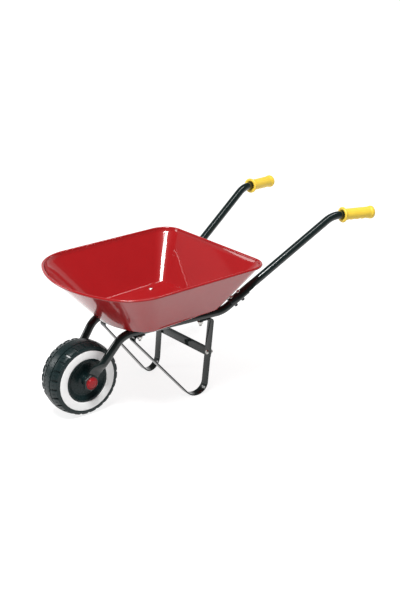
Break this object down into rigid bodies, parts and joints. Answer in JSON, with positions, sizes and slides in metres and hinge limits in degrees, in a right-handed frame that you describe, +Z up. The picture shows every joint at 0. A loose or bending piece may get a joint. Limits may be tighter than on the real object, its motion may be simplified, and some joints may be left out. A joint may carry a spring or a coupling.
{
  "type": "wheelbarrow",
  "caption": "Child-size steel wheelbarrow with a pressed tray, bent tube frame, V-shaped strip legs, handle grips and a turning whitewall wheel.",
  "frame": {"origin": "on the ground, under the middle of the overall box", "axes": "+X points forwards to the wheel, +Y is the left side, +Z is up"},
  "size_m": [0.8064, 0.3912, 0.4035],
  "materials": {
    "tray_paint": "gloss red powder coat on pressed steel sheet",
    "frame_paint": "gloss black enamel on steel tube",
    "strip_paint": "gloss black enamel on steel strip",
    "grip_plastic": "satin yellow moulded plastic",
    "tyre_rubber": "black moulded rubber",
    "hub_plastic": "satin black moulded plastic",
    "whitewall_plastic": "satin white ring",
    "cover_plastic": "semi-gloss black plastic",
    "cap_plastic": "gloss red plastic",
    "bush_plastic": "natural nylon",
    "plug_plastic": "black plastic",
    "zinc_steel": "bright zinc plate",
    "dark_steel": "black plated domed nuts"
  },
  "bodies": {
    "barrow": {"axle_nut_left": "zinc_steel", "axle_nut_right": "zinc_steel", "axle_rod": "zinc_steel", "brace_bolts": "zinc_steel", "brace_nuts": "zinc_steel", "cross_brace": "strip_paint", "fork_spacer_left": "zinc_steel", "fork_spacer_right": "zinc_steel", "frame_plug_left": "plug_plastic", "frame_plug_right": "plug_plastic", "frame_tube_left": "frame_paint", "frame_tube_right": "frame_paint", "grip_left": "grip_plastic", "grip_right": "grip_plastic", "handle_bolts": "zinc_steel", "handle_nuts": "dark_steel", "handle_tube_left": "frame_paint", "handle_tube_right": "frame_paint", "hex_cover_left": "cover_plastic", "hex_cover_right": "cover_plastic", "hub_cap_left": "cap_plastic", "hub_cap_right": "cap_plastic", "leg_left": "strip_paint", "leg_right": "strip_paint", "tray": "tray_paint", "tray_bolts": "zinc_steel", "tray_nuts": "zinc_steel", "tray_washers": "zinc_steel"},
    "wheel": {"tyre": "tyre_rubber", "hub_half_left": "hub_plastic", "hub_half_right": "hub_plastic", "hub_bush_left": "bush_plastic", "hub_bush_right": "bush_plastic", "whitewall_left": "whitewall_plastic", "whitewall_right": "whitewall_plastic"}
  },
  "joints": [
    {"name": "wheel_spin", "type": "hinge", "parent": "barrow", "child": "wheel", "pos_m": [0.31821, 0, 0.085], "axis": [0, 1, 0], "continuous": true}
  ]
}
